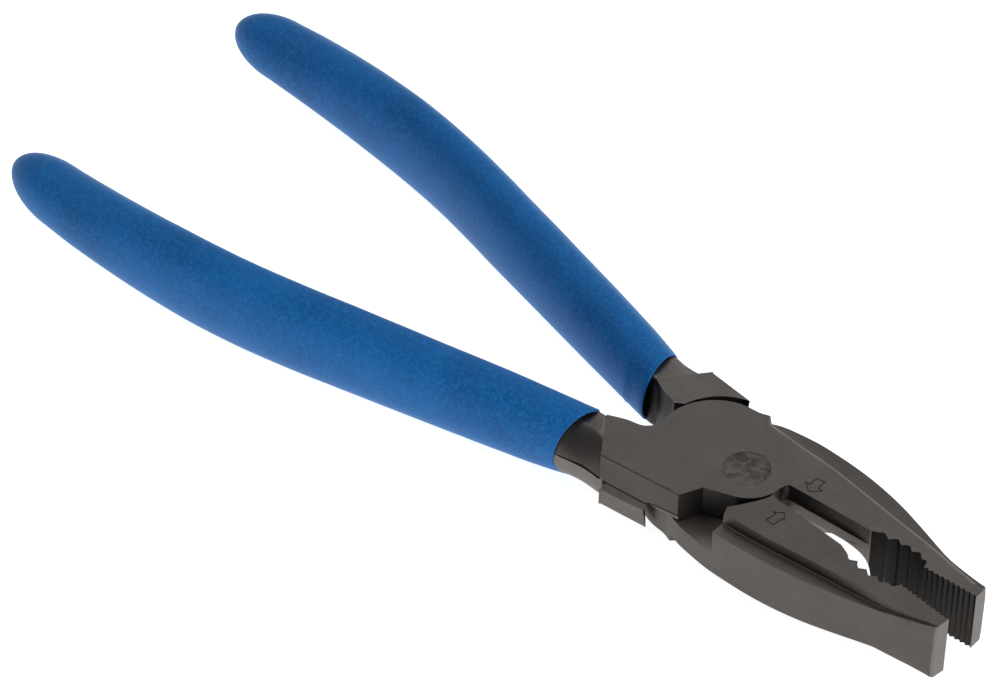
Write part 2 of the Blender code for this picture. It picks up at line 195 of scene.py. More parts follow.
MOUTH = {"upper": (-30.06, 13.0), "lower": (-28.85, 11.6)}      # x, slant in degrees
MOUTH_LEAN = {"upper": 0.165, "lower": 0.072}     # both lean back towards the underside
MOUTH_SLANT_LENGTH = 9.0         # the sections turn square to the handle over this length
MOUTH_FADE_RINGS = 12
LIP_RADIUS = 0.25
LIP_SHIFT = -0.1

# Rivet
RIVET_RADIUS = 4.1
RIVET_CLEARANCE = 0.02
RIVET_BORE_CORNERS = 96
RIVET_CORNERS = 128
RIVET_FACE = [0.02, 0.25, 0.5, 0.8, 1.1, 1.4, 1.7, 2.0, 2.3, 2.6, 2.9, 3.2, 3.45, 3.65, 3.8,
              3.92, 4.0]
RIVET_RIM = [(4.07, THICK - 0.04), (RIVET_RADIUS, THICK - 0.09), (RIVET_RADIUS, 0.09), (4.07, 0.04)]
RIVET_SINK = 0.03        # of the whole face under the head's
RIVET_DISH = 0.17
RIVET_DENT = 0.18
RIVET_DENT_SCALE = 0.42  # dents per millimetre
RIVET_UNDERSIDE_TURN = 2.0       # radians between the dents of its two faces

# Light and shade painted into the steel's faces, as factors on its colour
PAINTED_LIGHT_AND_SHADE = {"worn line": 1.55, "plate edge": 0.7, "face": 0.92, "lower jaw": 0.84, "lower ear": 1.04,
        "arrow": 0.45, "groove": 0.12, "neck inside": 0.5, "neck underside": 1.2, "neck": 0.52,
        "neck crown": 0.7, "throat": 0.2, "plate wall": 0.5, "undercut": 0.1, "band": 0.5,
        "band front": 0.9, "ear wall": 1.0, "rebate wall": 0.66, "rebate foot": 0.85,
        "rebate shelf": 0.88, "shelf edge": 0.04, "grip hole": 1.6, "tip": 1.15,
        "grip teeth": 0.18, "fine teeth": 0.24, "recess": 0.6, "ledge": 1.75, "hub": 0.32,
        "plate end": 0.5, "sides": 0.69}

# Base colours
STEEL = (0.150, 0.136, 0.127)
RIVET_STEEL = (0.130, 0.119, 0.112)
VINYL_DARK = (0.002, 0.085, 0.29)
VINYL_PALE = (0.004, 0.125, 0.40)
VINYL_GRAIN = (0.012, 0.19, 0.52)


# ---------------------------------------------------------------- drawing

def smooth(points, step):
    """A curve through the points, resampled about every step."""
    out = []
    last = len(points) - 1
    for i in range(last):
        p0, p1, p2, p3 = (Vector(points[max(0, min(last, i + k))]) for k in (-1, 0, 1, 2))
        count = max(1, round((p2 - p1).length / step))
        for k in range(count):
            out.append(tuple(hermite(p1, p2, (p2 - p0) / 2, (p3 - p1) / 2, k / count)))
    out.append(tuple(points[-1]))
    return out


def hermite(a, b, slope_a, slope_b, t):
    return ((2 * t**3 - 3 * t**2 + 1) * a + (t**3 - 2 * t**2 + t) * slope_a
            + (3 * t**2 - 2 * t**3) * b + (t**3 - t**2) * slope_b)


def at(table, x):
    """A row of a table sorted by falling x, interpolated smoothly at x."""
    rows = [Vector(r) for r in table]
    last = len(rows) - 1
    i = 0
    while i < last - 1 and x < rows[i + 1][0]:
        i += 1
    a, b = rows[i], rows[i + 1]
    before, after = rows[max(i - 1, 0)], rows[min(i + 2, last)]
    span = b[0] - a[0]
    return hermite(a, b, (b - before) / (b[0] - before[0]) * span,
                   (after - a) / (after[0] - a[0]) * span, (x - a[0]) / span)


def along(table, x, column):
    """A column of a table at x, on straight lines between its rows."""
    for a, b in zip(table, table[1:]):
        if min(a[0], b[0]) <= x <= max(a[0], b[0]):
            return a[column] + (b[column] - a[column]) * (x - a[0]) / (b[0] - a[0])
    nearer_first = abs(x - table[0][0]) < abs(x - table[-1][0])
    return table[0][column] if nearer_first else table[-1][column]


def blend(low, high, value):
    t = min(1.0, max(0.0, (value - low) / (high - low)))
    return t * t * (3 - 2 * t)


def signed_power(value, power):
    return math.copysign(abs(value)**power, value)


def arc(centre, radius, start, end, steps):
    return [(centre[0] + radius * math.cos(math.radians(start + (end - start) * i / steps)),
             centre[1] + radius * math.sin(math.radians(start + (end - start) * i / steps)))
            for i in range(steps + 1)]


def circle(radius, z, corners):
    return [(radius * math.cos(2 * math.pi * i / corners),
             radius * math.sin(2 * math.pi * i / corners), z) for i in range(corners)]


def section(x, y, slope, half_width, half_height, squareness):
    """A cross section of a handle. Squareness: inner side, outer side above and below."""
    inner, above, below = squareness
    length = math.hypot(1.0, slope)
    ring = []
    for i in range(HANDLE_CORNERS):
        angle = 2 * math.pi * (i + 0.5) / HANDLE_CORNERS
        c = math.cos(angle)
        s = math.sin(angle)
        power = 2 / (inner if c > 0 else above if s > 0 else below)
        u = half_width * signed_power(c, power)
        v = half_height * signed_power(s, power)
        ring.append((x - u * slope / length, y + u / length, THICK / 2 + v))
    return ring


def flat_rings(outline, low, high):
    return [[(x, y, low) for x, y in outline], [(x, y, high) for x, y in outline]]


def place(rings, key):
    """Turns the rings over for the lower half."""
    if key == "upper":
        return rings
    return [[(x, -y, THICK - z) for x, y, z in ring] for ring in rings]


# ---------------------------------------------------------------- meshes

def new_object(name, builder):
    bmesh.ops.recalc_face_normals(builder, faces=builder.faces)
    mesh = bpy.data.meshes.new(name)
    builder.to_mesh(mesh)
    builder.free()
    obj = bpy.data.objects.new(name, mesh)
    bpy.context.scene.collection.objects.link(obj)
    return obj


def loft(name, rings):
    """Rings of equal length, in millimetres, joined into a closed solid."""
    builder = bmesh.new()
    loops = [[builder.verts.new([c * MM for c in p]) for p in ring] for ring in rings]
    count = len(loops[0])
    for first, second in zip(loops, loops[1:]):
        for i in range(count):
            j = (i + 1) % count
            builder.faces.new((first[i], first[j], second[j], second[i]))
    builder.faces.new(loops[0])
    builder.faces.new(loops[-1])
    return new_object(name, builder)


def bake(obj):
    """Turns the modifiers into mesh."""
    bpy.context.view_layer.update()
    depsgraph = bpy.context.evaluated_depsgraph_get()
    mesh = bpy.data.meshes.new_from_object(obj.evaluated_get(depsgraph))
    obj.modifiers.clear()
    obj.data = mesh


def cut(obj, rings, operation='DIFFERENCE'):
    """Cuts the solid of the rings out of an object, or joins it on."""
    tool = loft("tool", rings)
    modifier = obj.modifiers.new("cut", 'BOOLEAN')
    modifier.operation = operation
    modifier.solver = 'EXACT'
    modifier.object = tool
    bake(obj)
    bpy.data.objects.remove(tool, do_unlink=True)


def soften(obj):
    """Breaks the edges of a solid."""
    builder = bmesh.new()
    builder.from_mesh(obj.data)
    bmesh.ops.remove_doubles(builder, verts=builder.verts, dist=0.004 * MM)
    bmesh.ops.dissolve_limit(builder, angle_limit=math.radians(0.02), verts=builder.verts,
                             edges=builder.edges)
    builder.to_mesh(obj.data)
    builder.free()
    bevel = obj.modifiers.new("bevel", 'BEVEL')
    bevel.width = EDGE * MM
    bevel.segments = 2
    bevel.limit_method = 'ANGLE'
    bevel.angle_limit = math.radians(EDGE_ANGLE)
    bevel.use_clamp_overlap = True
    bevel.miter_outer = 'MITER_ARC'
    bake(obj)


def open_out(obj, key):
    """Turns a piece of one half from closed to the rest opening."""
    obj.data.transform(Matrix.Rotation(SIDE[key] * math.radians(HALF_OPENING), 4, 'Z'))


def shade(obj, angle):
    """Smooth shading, with the edges above the angle kept sharp."""
    obj.data.shade_smooth()
    obj.data.set_sharp_from_angle(angle=math.radians(angle))


# ---------------------------------------------------------------- steel halves

def teeth(shift):
    """The gripping edge from the oval hole to the tip."""
    points = [(x + shift * blend(25.5, 28.0, x) * blend(36.8, 36.0, x), y) for x, y in GRIP_TEETH]
    pitch = (JAW_END - FINE_TEETH_START) / FINE_TEETH
    for i in range(FINE_TEETH):
        x = FINE_TEETH_START + i * pitch
        points.append((x, JAW_FACE))
        for share in FINE_GROOVE:
            points.append((x + share * pitch, JAW_FACE + FINE_GROOVE_DEPTH))
    return points + [(JAW_END, JAW_FACE)]


def head_outline(key):
    tip = TIP_WIDTH[key]
    points = [(JAW_REAR[0][0], JAW_FACE)] + smooth(GRIP_HOLE_REAR, 0.35) + teeth(TEETH_SHIFT[key])
    points += [(JAW_END, tip - TIP_CORNER[1])]
    points += smooth([(JAW_END - TIP_CORNER[0], tip)] + JAW_OUTER_WALL, 0.8)[:-1]
    points += smooth(SHOULDER_CURVE, 0.6)[:-1]
    points += arc(DISC_CENTRE, DISC_RADIUS, 90.0, 178.0, 40)
    points += smooth(NECK_INNER, 0.4) + [NECK_OUTER, SHOULDER_END, PLATE_END]
    return points + arc((0.0, 0.0), HUB_RADIUS, -70.0, 0.4, 32)


def head_rings(key):
    """The block of the head, whose front bulges a little between its faces."""
    outline = head_outline(key)
    return [[(x, y + bulge * blend(38.0, 45.0, x) * blend(1.2, 2.2, y), z) for x, y in outline]
            for z, bulge in JAW_BULGE]


def pocket_outline():
    centre = (DISC_CENTRE[0], -DISC_CENTRE[1])
    disc = arc(centre, DISC_RADIUS + DISC_CLEARANCE, -172.0, -108.0, 30)
    return (POCKET_REAR + disc + EAR_OUTER + POCKET_FRONT + smooth(JAW_REAR, 0.5)[:-1]
            + JAW_REAR_OUTER + POCKET_OUTSIDE)


def step_rings(face, inward, worn):
    """The rebate along a jaw's outer edge. A worn one has a shallow flat along its top edge."""
    rings = []
    for x, y in STEP_RUN_OUT + smooth(STEP_EDGE, 0.8):
        if worn:
            y -= WORN_INSET * blend(-3.0, 0.0, x) + WORN_TIP_INSET * blend(36.0, 41.0, x)
        fade = min(1.0, max(0.02, (JAW_END + 0.1 - x) / (JAW_END - STEP_FADE_START)))
        depth = STEP_DEPTH * fade**0.7
        wall = y + STEP_LEAN * fade
        foot = STEP_FOOT * fade
        clear = face - inward * OVER
        if worn:
            drop = WORN_DEPTH * fade
            ring = [(x, y, face + inward * drop), (x, y - WORN_WIDTH * (1 + OVER / drop), clear)]
        else:
            ring = [(x, y, face + inward * SKIM), (x, y, clear)]
        ring.append((x, STEP_OUTSIDE, clear))
        for d in STEP_SHELF:
            ring.append((x, wall + foot + d, face + inward * (depth - SHELF_CURVE * fade * d * d)))
        for k in range(6):
            a = 0.5 * math.pi * k / 5
            ring.append((x, wall + foot * (1 - math.sin(a)),
                         face + inward * (depth - foot * (1 - math.cos(a)))))
        rings.append(ring)
    return rings


def recess_rings(key):
    """The recess above the cutting edge, whose ledge rises from the edge."""
    rear, front = RECESS_REACH[key]
    stations = []
    for k in range(7):
        a = 0.5 * math.pi * k / 6
        stations.append((RECESS_START + RECESS_CORNER * (1 - math.cos(a)),
                         rear * (0.25 + 0.75 * math.sin(a))))
    stations.append((RECESS_END, front))
    back = -RECESS_BACK * SIDE[key]
    ledge = THICK - CUTTER_DEPTH
    return [[(x, back, THICK + OVER), (x, reach * SIDE[key], THICK + OVER),
             (x, reach * SIDE[key], ledge + LEDGE_SLOPE * reach), (x, 0.0, ledge),
             (x, back, ledge)] for x, reach in stations]


def scoop_rings():
    """The hollow under the cutting edges, which widens to the underside."""
    rings = []
    for k in range(SCOOP_RINGS):
        depth = CUTTER_DEPTH + (SCOOP_BOTTOM - CUTTER_DEPTH) * (k / (SCOOP_RINGS - 1))**1.5
        below = depth - CUTTER_DEPTH
        half_width = 0.02 + SCOOP_HALF_WIDTH * below / (THICK - CUTTER_DEPTH)
        front = SCOOP_FRONT + SCOOP_SPREAD * (1.0 - math.exp(-below / SCOOP_FALL))
        ring = []
        for i in range(SCOOP_CORNERS):
            angle = 2 * math.pi * i / SCOOP_CORNERS
            c = math.cos(angle)
            s = math.sin(angle)
            power = 2 / SCOOP_SQUARENESS[0 if c > 0 else 1]
            reach = front if c > 0 else SCOOP_REAR
            ring.append((SCOOP_CENTRE + reach * signed_power(c, power),
                         half_width * signed_power(s, power), THICK - depth))
        rings.append(ring)
    return rings


def neck_rings():
    rings = []
    x = NECK[0][0]
    while x >= NECK[-1][0]:
        row = at(NECK, x)
        rings.append(section(*row[:5], (row[5], row[6], NECK_UNDER_SQUARENESS)))
        x -= NECK_STEP
    return rings


def parting_rings():
    """The groove that the forging dies leave around the outside."""
    return [[(x, y - 1.0, z + 0.7), (x, y - 1.0, z - 1.0), (x, y + 0.4, z)]
            for x, y, z in smooth([row for row in PARTING if row[0] < GROOVE_END], 0.8)]


def strip_height(x, wall, inset):
    """Height of the undercut strip between the band's wall and the parting line."""
    return STRIP_HEIGHT + STRIP_RISE * max(0.0, wall + inset - along(PARTING, x, 1))


def band_rings():
    """The wall under the parting line slopes in towards it."""
    rings = []
    for x, wall, foot, inset in BAND:
        line = along(PARTING, x, 2)
        rings.append([(x, wall - 2.0, foot), (x, wall - 0.01, foot),
                      (x, wall + BAND_BEND * inset, line - strip_height(x, wall, inset)),
                      (x, wall + inset, line), (x, wall - 2.0, line)])
    return rings


def chamfer_rings():
    """Breaks the top edge of the plate's outer wall."""
    return [[(x, y + CHAMFER, THICK), (x, y - OVER, THICK - OVER - CHAMFER),
             (x, y - OVER, THICK + OVER), (x, y + CHAMFER, THICK + OVER)]
            for x, y in (NECK_OUTER, SHOULDER_END)]


def facet_rings():
    return [[(x, y, EAR_FACET_BOTTOM) for x, y in EAR_FACET_FOOT],
            [(x, y, EAR_FACET_HEIGHT) for x, y in EAR_FACET_TOP]]


def stroke_rings(a, b):
    """A shallow engraved line between two points of the plan."""
    a, b = Vector(a), Vector(b)
    ahead = (b - a).normalized() * STROKE_WIDTH / 2
    across = Vector((-ahead.y, ahead.x))
    corners = [a - ahead - across, b + ahead - across, b + ahead + across, a - ahead + across]
    return flat_rings(corners, THICK - STROKE_DEPTH, THICK + 0.5)


def engrave_arrow(half, key):
    """The outlined arrow that points at the cutting edges."""
    tip, barbs, tail = ARROW[key]
    shaft = ((tip[0] - ARROW_SHAFT[0], barbs[0][1]), (tip[0] + ARROW_SHAFT[1], barbs[1][1]))
    outline = (tip, barbs[0], shaft[0], *tail, shaft[1], barbs[1], tip)
    path = [(x, y * SIDE[key]) for x, y in outline]
    for a, b in zip(path, path[1:]):
        cut(half, stroke_rings(a, b))


# ---------------------------------------------------------------- light and shade painted on the steel

def neck_painted_light(p, n, up, key):
    # Painted light and shade on the neck: the parting groove dark as its shadow, the underside
    # light as from the floor, the crown lighter the more it faces up
    line = along(PARTING, p.x, 2)
    below = p.z < line if key == "upper" else p.z > line
    if abs(p.z - line) < 0.3 and p.y < -11.0 and abs(n.z) > 0.5:
        return PAINTED_LIGHT_AND_SHADE["groove"]
    if n.y > 0.5:
        return PAINTED_LIGHT_AND_SHADE["neck inside"]
    if up < -0.05 or (below and n.y < -0.3):
        return PAINTED_LIGHT_AND_SHADE["neck underside"]
    return PAINTED_LIGHT_AND_SHADE["neck"] + PAINTED_LIGHT_AND_SHADE["neck crown"] * blend(0.75, 0.98, up)


def band_painted_shade(p, n):
    """The plate's outer wall, from its top down to the shoulder's foot, with painted shade: a dark
    strip under the parting line and on the undercut, and the band darker than the ear's wall.
    """
    line = along(PARTING, p.x, 2)
    wall = along(BAND, p.x, 1)
    if p.z > line - 0.02:
        return PAINTED_LIGHT_AND_SHADE["plate wall"]
    if n.x > 0.22 and -13.2 < p.x < -11.0:
        return PAINTED_LIGHT_AND_SHADE["undercut"]
    if abs(p.y - wall) < 0.5 and p.z > along(BAND, p.x, 2) + 0.02:
        if p.z > line - strip_height(p.x, wall, along(BAND, p.x, 3)) + 0.02:
            return PAINTED_LIGHT_AND_SHADE["undercut"]
        return PAINTED_LIGHT_AND_SHADE["band" if p.x < -11.7 else "band front"]
    return PAINTED_LIGHT_AND_SHADE["ear wall"]


def rebate_painted_shade(edge, depth, n):
    # Painted shade in the rebate: its wall darkest, the foot and the shelf less so, the shelf a
    # touch lighter towards its outer edge
    if n.y > 0.3 and depth < STEP_DEPTH - 0.12:
        return PAINTED_LIGHT_AND_SHADE["rebate wall"]
    if abs(n.z) < 0.93:
        return PAINTED_LIGHT_AND_SHADE["rebate foot"]
    return PAINTED_LIGHT_AND_SHADE["rebate shelf"] + PAINTED_LIGHT_AND_SHADE["shelf edge"] * blend(0.4, 2.2, edge)


def face_painted_light(p, n, up, key):
    """Light and shade painted on a face at p with normal n, both as drawn. Up is how far it really
    faces up.
    """
    upper = key == "upper"
    flat = abs(n.z) > 0.9
    wall = abs(n.z) < 0.5
    depth = min(p.z, THICK - p.z)
    edge = p.y - along(STEP_EDGE, p.x, 1)
    # The two faces and the lines along their edges: a painted highlight on the worn line, a painted
    # dark line along the plate's edge, the faces painted at a different brightness half by half,
    # the engraved arrow darker
    outer = n.y > 0.03 and p.y > 2.4 and p.x > -2.0
    if upper and outer and 0.3 < abs(n.z) < 0.9995 and depth < 2 * WORN_DEPTH:
        return PAINTED_LIGHT_AND_SHADE["worn line"]
    if 0.15 < abs(n.z) < 0.99 and depth < CHAMFER and p.y < -12.0 and -21.6 < p.x < -4.8:
        return PAINTED_LIGHT_AND_SHADE["plate edge"]
    if flat and depth < 0.03:
        return PAINTED_LIGHT_AND_SHADE["face" if upper else "lower jaw" if p.x > 4.0 else "lower ear"]
    if flat and depth < STROKE_DEPTH + 0.02 and 9.0 < p.x < 14.0 and p.y < 7.0:
        return PAINTED_LIGHT_AND_SHADE["arrow"]
    # The neck and the plate's sides, with painted shade on the throat's inner wall
    if p.x < -21.2 and not (p.y > -4.6 and n.y > 0.5 and not flat):
        return neck_painted_light(p, n, up, key)
    if p.x < -18.0 and n.y > 0.3 and not flat:
        return PAINTED_LIGHT_AND_SHADE["throat"]
    if p.x < -4.6 and p.y < -11.7 and abs(n.z) < 0.8:
        return band_painted_shade(p, n)
    # The jaw, from its rebate round to the cutting edge: painted shade in the rebate, between the
    # teeth and in the recess, painted light on the grip hole's wall and on the tip
    if -5.3 < p.x < 47.0 and -0.6 < edge < 5.0 and 0.05 < depth < STEP_DEPTH + 0.05:
        if abs(n.z) > 0.1 or edge < 0.6:
            return rebate_painted_shade(edge, depth, n)
    if GRIP_HOLE_START < p.x < GRIP_TEETH_START and p.y < 2.0 and wall:
        return PAINTED_LIGHT_AND_SHADE["grip hole"]
    if p.x > JAW_END - 0.4 and n.x > 0.7:
        return PAINTED_LIGHT_AND_SHADE["tip"]
    if p.x > GRIP_TEETH_START and n.y < 0.35 and p.y < 3.3 and wall:
        return PAINTED_LIGHT_AND_SHADE["grip teeth" if p.x < FINE_TEETH_START else "fine teeth"]
    if 7.0 < p.x < GRIP_HOLE_START and p.y < 2.0 and not flat and n.y < 0.2:
        return PAINTED_LIGHT_AND_SHADE["recess"]
    # What is left: ledges painted light, the hub's wall painted dark, the plate's end and the outer
    # walls
    if flat:
        return PAINTED_LIGHT_AND_SHADE["ledge"]
    if math.hypot(p.x, p.y) < HUB_RADIUS + 0.6:
        return PAINTED_LIGHT_AND_SHADE["hub"]
    return PAINTED_LIGHT_AND_SHADE["plate end" if p.x > -5.2 and p.y < -8.0 else "sides"]


def paint(half, key):
    """Stores the light and shade painted into each face, as the attribute tone."""
    tone = half.data.attributes.new("tone", 'FLOAT', 'FACE')
    for face in half.data.polygons:
        p = face.center / MM
        n = face.normal
        up = n.z
        if key == "lower":
            p = Vector((p.x, -p.y, THICK - p.z))
            n = Vector((n.x, -n.y, -n.z))
        tone.data[face.index].value = face_painted_light(p, n, up, key)


def build_half(name, key):
    half = loft(name, place(head_rings(key), key))
    cut(half, place(flat_rings(pocket_outline(), -OVER, THICK / 2 + LAP_GAP / 2), key))
    for face, inward in ((THICK, -1.0), (0.0, 1.0)):
        cut(half, place(step_rings(face, inward, face > 0 and key == "upper"), key))
    cut(half, recess_rings(key))
    cut(half, scoop_rings())
    cut(half, [circle(RIVET_RADIUS + RIVET_CLEARANCE, z, RIVET_BORE_CORNERS)
               for z in (-OVER, THICK + OVER)])
    for rings in (band_rings(), chamfer_rings(), facet_rings()):
        cut(half, place(rings, key))
    soften(half)
    cut(half, place(neck_rings(), key), 'UNION')
    cut(half, place(parting_rings(), key))
    engrave_arrow(half, key)
    paint(half, key)
    open_out(half, key)
    for v in half.data.vertices:
        share = min(1.0, max(0.0, (TAPER_START * MM - v.co.x) / (TAPER_LENGTH * MM)))
        v.co.z *= 1.0 - TAPER * share
    shade(half, 32.0)
    half.modifiers.new("weighted", 'WEIGHTED_NORMAL').keep_sharp = True
    bake(half)
    return half


# ---------------------------------------------------------------- sleeves and rivet

def handle_slope(x):
    return at(HANDLE, x + 0.5)[1] - at(HANDLE, x - 0.5)[1]


def sleeve_rings(key):
    mouth_x, slant = MOUTH[key]
    rings = []
    x = mouth_x
    while x > HANDLE_ROUND:
        row = at(HANDLE, x)
        slope = handle_slope(x)
        share = max(0.0, 1.0 - (mouth_x - x) / MOUTH_SLANT_LENGTH)
        tilt = -math.tan(math.radians(slant)) * share + slope * (1.0 - share)
        lean = math.atan(slope) - math.atan(tilt)
        rings.append(section(x, row[1], tilt, row[2] / math.cos(lean), row[3], SLEEVE_SQUARENESS))
        x -= 1.0
    row = at(HANDLE, HANDLE_ROUND)
    slope = handle_slope(HANDLE_ROUND)
    for k in range(1, SLEEVE_END_RINGS + 1):
        angle = 0.5 * math.pi * k / (SLEEVE_END_RINGS + 0.2)
        reach = math.sin(angle)
        rings.append(section(HANDLE_ROUND + (SLEEVE_END[key] - HANDLE_ROUND) * reach,
                             row[1] + (HANDLE_TIP_Y - row[1]) * reach, slope * (1 - 0.5 * reach),
                             row[2] * math.cos(angle), row[3] * math.cos(angle),
                             SLEEVE_SQUARENESS))
    return rings


def shrunk(ring, amount, shift):
    """A ring moved in towards its own centre, and along the handle."""
    centre = sum((Vector(p) for p in ring), Vector()) / len(ring)
    out = []
    for p in ring:
        d = Vector(p) - centre
        q = centre + d * (1 - amount / d.length)
        out.append((q.x + shift, q.y, q.z))
    return out


def lip_profile():
    """The mouth's cut edge, from the inside out: inset from the skin, shift along the handle."""
    profile = [(SLEEVE_WALL, -5.0), (SLEEVE_WALL, LIP_SHIFT)]
    for k in range(1, 5):
        a = 0.5 * math.pi * k / 5
        profile.append((SLEEVE_WALL - LIP_RADIUS * math.sin(a),
                        LIP_SHIFT + LIP_RADIUS * (1 - math.cos(a))))
    return profile + [(0.16, 0.1), (0.04, 0.0), (0.0, -0.25)]


def mouth_shift(y, z, key):
    """How far a point of the dip line moves along the handle from a plain slanted cut."""
    shift = MOUTH_LEAN[key] * (z - THICK / 2)
    if key == "lower":
        return shift
    return shift + 0.3 * max(0.0, 4.0 - z)**1.4 - 0.5 * max(0.0, y + 4.8)


def build_sleeve(name, key):
    rings = sleeve_rings(key)
    mouth = [shrunk(rings[0], inset, shift) for inset, shift in lip_profile()]
    rings = place(mouth + rings[1:], key)
    for k, ring in enumerate(rings):
        share = max(0.0, 1.0 - max(0, k + 1 - len(mouth)) / MOUTH_FADE_RINGS)
        rings[k] = [(x + share * mouth_shift(y, z, key), y, z) for x, y, z in ring]
    sleeve = loft(name, rings)
    for v in sleeve.data.vertices:
        p = Vector(v.co) / MM
        height = p.z - THICK / 2
        swell = (noise.noise(p * 0.06) * 0.10
                 + noise.noise(p * 0.22 + Vector((7.0, 0.0, 0.0))) * 0.035)
        v.co.z += math.copysign(swell, height) * MM * min(1.0, abs(height) / 4)
    open_out(sleeve, key)
    shade(sleeve, 60)
    return sleeve


def rivet_drop(radius, angle):
    """Depth of the peened face under the head's surface."""
    share = radius / RIVET_RADIUS
    spot = Vector((radius * math.cos(angle) * RIVET_DENT_SCALE + 3.0,
                   radius * math.sin(angle) * RIVET_DENT_SCALE, 0.0))
    near = noise.voronoi(spot)[0]
    dent = RIVET_DENT * min(0.5, near[1] - near[0]) * (1 - share**6)
    return RIVET_SINK + RIVET_DISH * (1 - share**4) + dent


def rivet_ring(radius, top):
    ring = []
    for i, (x, y, z) in enumerate(circle(radius, 0.0, RIVET_CORNERS)):
        angle = 2 * math.pi * i / RIVET_CORNERS + (0.0 if top else RIVET_UNDERSIDE_TURN)
        drop = rivet_drop(radius, angle)
        ring.append((x, y, THICK - drop if top else drop))
    return ring


def build_rivet():
    rings = [rivet_ring(radius, True) for radius in RIVET_FACE]
    rings += [circle(radius, z, RIVET_CORNERS) for radius, z in RIVET_RIM]
    rings += [rivet_ring(radius, False) for radius in reversed(RIVET_FACE)]
    rivet = loft("pivot_rivet_face", rings)
    shade(rivet, 50)
    return rivet


# ---------------------------------------------------------------- materials

def node_tools(name):
    material = bpy.data.materials.new(name)
    material.use_nodes = True
    tree = material.node_tree
    return material, tree, tree.nodes["Principled BSDF"]


def add(tree, kind, **values):
    """A node, with values for its sockets or its settings."""
    node = tree.nodes.new(kind)
    for key, value in values.items():
        if key in node.inputs:
            node.inputs[key].default_value = value
        else:
            setattr(node, key, value)
    return node


def speckle(tree, where, **values):
    """The value of a noise texture at a place."""
    node = add(tree, "ShaderNodeTexNoise", **values)
    tree.links.new(where, node.inputs["Vector"])
    return node.outputs["Fac"]


def ramp(tree, source, low, high, start, end):
    """Goes from low to high while the source goes from start to end."""
    node = tree.nodes.new("ShaderNodeMapRange")
    node.inputs["From Min"].default_value = start
    node.inputs["From Max"].default_value = end
    node.inputs["To Min"].default_value = low
    node.inputs["To Max"].default_value = high
    tree.links.new(source, node.inputs["Value"])
    return node.outputs["Result"]


def mix_colour(tree, factor, a, b):
    """A colour between a and b, each a fixed colour or a socket."""
    node = tree.nodes.new("ShaderNodeMix")
    node.data_type = 'RGBA'
    factor_socket, a_socket, b_socket = (node.inputs[i] for i in (0, 6, 7))
    tree.links.new(factor, factor_socket)
    for socket, value in ((a_socket, a), (b_socket, b)):
        if isinstance(value, tuple):
            socket.default_value = (*value, 1.0)
        else:
            tree.links.new(value, socket)
    return node.outputs[2]


def roughen(tree, shader, height, strength, distance):
    """Small bumps on the surface."""
    bump = add(tree, "ShaderNodeBump", Strength=strength, Distance=distance)
    tree.links.new(height, bump.inputs["Height"])
    tree.links.new(bump.outputs["Normal"], shader.inputs["Normal"])


def steel_material(name, base, rough, painted_by_face):
    """Brushed dark steel, either with light and shade painted in face by face or darker and lighter
    in peened patches.
    """
    material, tree, shader = node_tools(name)
    shader.inputs["Metallic"].default_value = 1.0
    where = add(tree, "ShaderNodeTexCoord").outputs["Object"]
    grain = speckle(tree, where, Scale=2600.0, Detail=3.0, Roughness=0.6)
    cloud = speckle(tree, where, Scale=130.0, Detail=4.0, Roughness=0.55)
    stretch = add(tree, "ShaderNodeMapping")
    stretch.inputs["Scale"].default_value = (400.0, 6500.0, 6500.0)
    tree.links.new(where, stretch.inputs["Vector"])
    brush = speckle(tree, stretch.outputs["Vector"], Scale=1.0, Detail=2.0, Roughness=0.5)
    tone = mix_colour(tree, ramp(tree, cloud, 0.0, 1.0, 0.3, 0.7),
                      tuple(c * 0.9 for c in base), tuple(c * 1.1 for c in base))
    tone = mix_colour(tree, ramp(tree, grain, 0.0, 0.35, 0.35, 0.7), tone,
                      tuple(c * 0.72 for c in base))
    if painted_by_face:
        # The light and shade painted into each face
        painted_light_or_patches = add(tree, "ShaderNodeAttribute", attribute_name="tone").outputs["Fac"]
    else:
        patch = speckle(tree, where, Scale=420.0, Detail=1.5, Roughness=0.5, Distortion=1.2)
        painted_light_or_patches = ramp(tree, patch, 0.62, 1.06, 0.40, 0.62)
    shaded = add(tree, "ShaderNodeVectorMath", operation='SCALE')
    tree.links.new(tone, shaded.inputs[0])
    tree.links.new(painted_light_or_patches, shaded.inputs["Scale"])
    tree.links.new(shaded.outputs["Vector"], shader.inputs["Base Color"])
    tree.links.new(ramp(tree, brush, rough - 0.06, rough + 0.08, 0.3, 0.7),
                   shader.inputs["Roughness"])
    total = add(tree, "ShaderNodeMath", operation='ADD')
    tree.links.new(grain, total.inputs[0])
    tree.links.new(brush, total.inputs[1])
    roughen(tree, shader, total.outputs["Value"], 0.25, 0.00003)
    return material


def vinyl_material(name):
    """Matt dipped vinyl with a fine grain and a soft bloom at grazing angles."""
    material, tree, shader = node_tools(name)
    shader.inputs["Specular IOR Level"].default_value = 0.15
    shader.inputs["Sheen Weight"].default_value = 0.35
    shader.inputs["Sheen Roughness"].default_value = 0.4
    shader.inputs["Sheen Tint"].default_value = (0.45, 0.75, 1.0, 1.0)
    where = add(tree, "ShaderNodeTexCoord").outputs["Object"]
    grain = speckle(tree, where, Scale=1500.0, Detail=4.0, Roughness=0.68)
    cloud = speckle(tree, where, Scale=70.0, Detail=3.0, Roughness=0.5)
    tone = mix_colour(tree, ramp(tree, cloud, 0.0, 1.0, 0.3, 0.7), VINYL_DARK, VINYL_PALE)
    tone = mix_colour(tree, ramp(tree, grain, 0.0, 0.75, 0.44, 0.70), tone, VINYL_GRAIN)
    tree.links.new(tone, shader.inputs["Base Color"])
    tree.links.new(ramp(tree, grain, 0.48, 0.66, 0.3, 0.7), shader.inputs["Roughness"])
    roughen(tree, shader, grain, 0.5, 0.00006)
    return material


